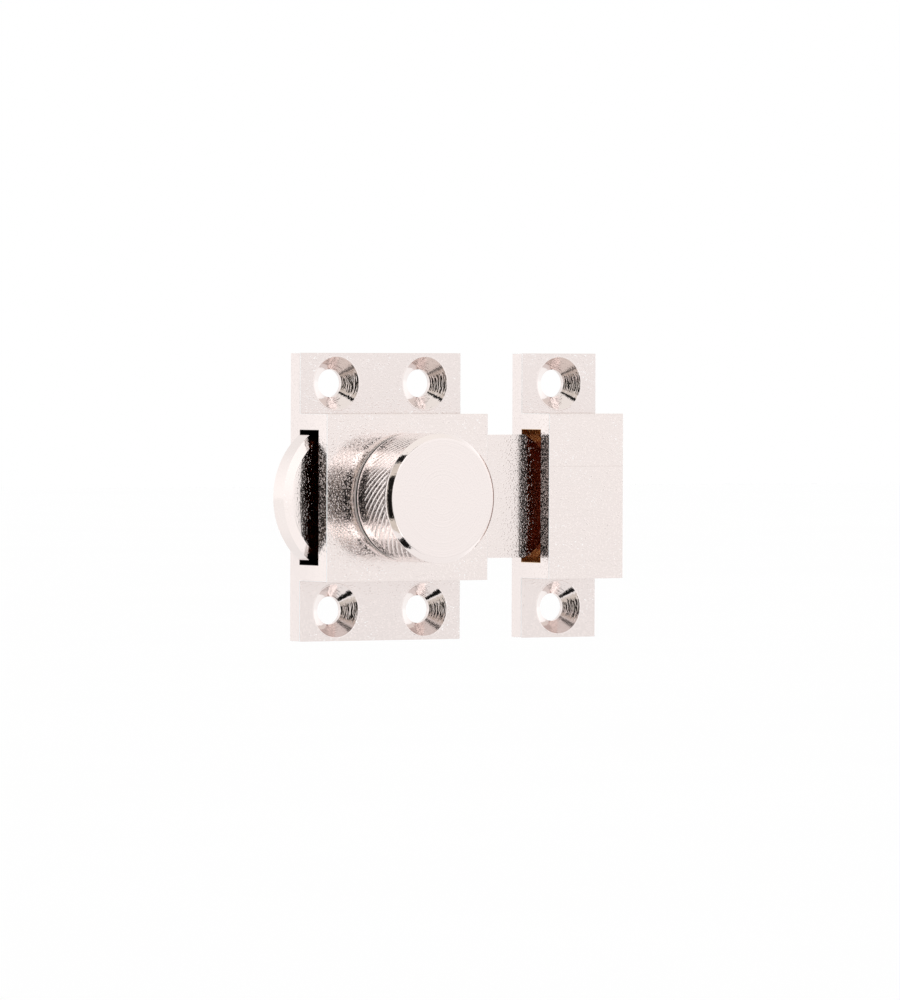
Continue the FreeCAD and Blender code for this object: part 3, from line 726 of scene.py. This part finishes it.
def tent_glow(nodes, way, raised, bands):
    """How bright the cloth is.

    It is brighter in two bands to the right of the lens, one above and one below it, and dimmer in the
    patch that the flat front faces show, below the lens's level, high up and behind the bolt.
    """
    outside = nodes.ramp(nodes.dot(way, SHOWN_BY_FRONTS), 0.90, 0.99, ROUND_GAIN, 0.0)
    outside = outside * nodes.ramp(abs(raised), 0.35, 0.65, 1.0, 0.15)
    glow = 1 + outside + bands * BAND_GAIN
    behind = nodes.split(way)[1]
    glow = glow * nodes.ramp(behind, 0.2, 0.8, 1.0, REAR_SIDE_LEVEL)
    glow = glow * nodes.ramp(behind, 0.86, 0.97, 1.0, REAR_LEVEL)
    glow = glow * nodes.ramp(raised, -0.05, 0.003, UNDER_LEVEL, OVER_LEVEL)
    glow = glow * nodes.ramp(raised, 0.1, 0.5, 1.0, TOP_LEVEL)
    return glow * (CLOTH_LEAST + nodes.noise(way, CLOTH_SCALE) * CLOTH_SPREAD)


def light_tent():
    """White studio tent with a dark opening round the lens and a dark gap above and below it.

    A warm veil dims the cloth to the left of the lens, between the gaps.
    A direction in front of the bolt is told by where it meets a wall square to the lens, one unit away:
    across is how far to the side, and rise how far above or below. Only the reflections see the tent.
    """
    world = bpy.data.worlds.new("light_tent")
    world.use_nodes = True
    bpy.context.scene.world = world
    nodes = Nodes(world.node_tree)
    way = nodes.add("ShaderNodeTexCoord", output="Generated")
    ahead = nodes.dot(way, OUTWARD)
    raised = nodes.dot(way, UPWARD)
    reach = ahead.at_least(0.02)
    across = nodes.dot(way, SIDEWAYS) / reach
    rise = abs(raised) / reach
    before = nodes.ramp(ahead, 0.03, 0.08)
    above = nodes.ramp(raised, -0.1, 0.1)
    dark = before * lens_opening(nodes, across, rise).at_least(dark_gap(nodes, across, rise, above))
    veil = before * nodes.ramp(rise, VEIL_RISE, VEIL_RISE + 0.1, 1.0, 0.0)
    veil = veil * nodes.within(across, VEIL_LEFT, VEIL_RIGHT, 0.08)
    bands = before * nodes.within(across, BAND_LEFT, BAND_RIGHT, 0.10)
    bands = bands * nodes.within(rise, BAND_FOOT, BAND_HEAD, STEP_SOFT)
    glow = tent_glow(nodes, way, raised, bands)
    level = glow * (1 - dark * DARK_SHADE) * (1 - veil * VEIL_SHADE)
    tint = nodes.blend(nodes.ramp(raised, 0.45, 0.95), TENT_LIGHT, TENT_TOP_LIGHT)
    tint = nodes.blend(veil, tint, TENT_VEIL_LIGHT)
    tent = nodes.add("ShaderNodeBackground", None, {"Color": tint, "Strength": level})
    plain = nodes.add("ShaderNodeBackground", None, {"Color": WHITE, "Strength": 1.0})
    glossy = nodes.add("ShaderNodeLightPath", output="Is Glossy Ray")
    mixed = nodes.add("ShaderNodeMixShader", None, {0: glossy, 1: plain, 2: tent})
    nodes.add("ShaderNodeOutputWorld", None, {"Surface": mixed})


def floor_finish(nodes):
    """Matt white floor."""
    base = nodes.blend(nodes.noise(nodes.point(), 6.0), WHITE, FLOOR_PALE)
    shader = nodes.add("ShaderNodeBsdfDiffuse", None, {"Color": base})
    nodes.add("ShaderNodeOutputMaterial", None, {"Surface": shader})


def make_floor():
    """A plain pale floor well below the bolt. It doesn't show in the polished metal."""
    half = FLOOR_HALF
    level = CASE_LOW.z - FLOOR_BELOW
    corners = [(-half, -half, level), (half, -half, level), (half, half, level), (-half, half, level)]
    mesh = bpy.data.meshes.new("floor")
    mesh.from_pydata(corners, [], [(0, 1, 2, 3)])
    mesh.materials.append(finished("floor_white", floor_finish))
    floor = bpy.data.objects.new("floor", mesh)
    bpy.context.scene.collection.objects.link(floor)
    floor.visible_glossy = False


def make_camera():
    """The lens stands in front, to the left and level with the bolt, turned a little about its axis."""
    lens = bpy.data.cameras.new("camera")
    lens.sensor_width = SENSOR
    lens.lens = FOCAL_PIXELS * SENSOR / LONG_SIDE
    lens.clip_start = 0.05
    lens.clip_end = 20.0
    camera = bpy.data.objects.new("camera", lens)
    bpy.context.scene.collection.objects.link(camera)
    rolled_side = SIDEWAYS * math.cos(CAMERA_ROLL) + UPWARD * math.sin(CAMERA_ROLL)
    rolled_up = UPWARD * math.cos(CAMERA_ROLL) - SIDEWAYS * math.sin(CAMERA_ROLL)
    target = SIDEWAYS * CAMERA_ASIDE - UPWARD * CAMERA_LOWER
    turned = Matrix((rolled_side, rolled_up, OUTWARD)).transposed().to_4x4()
    camera.matrix_world = Matrix.Translation(target + OUTWARD * CAMERA_AWAY) @ turned
    bpy.context.scene.camera = camera


bpy.context.scene.view_settings.view_transform = "Standard"
make_camera()
light_tent()
make_floor()
dress_frame()
make_knob()
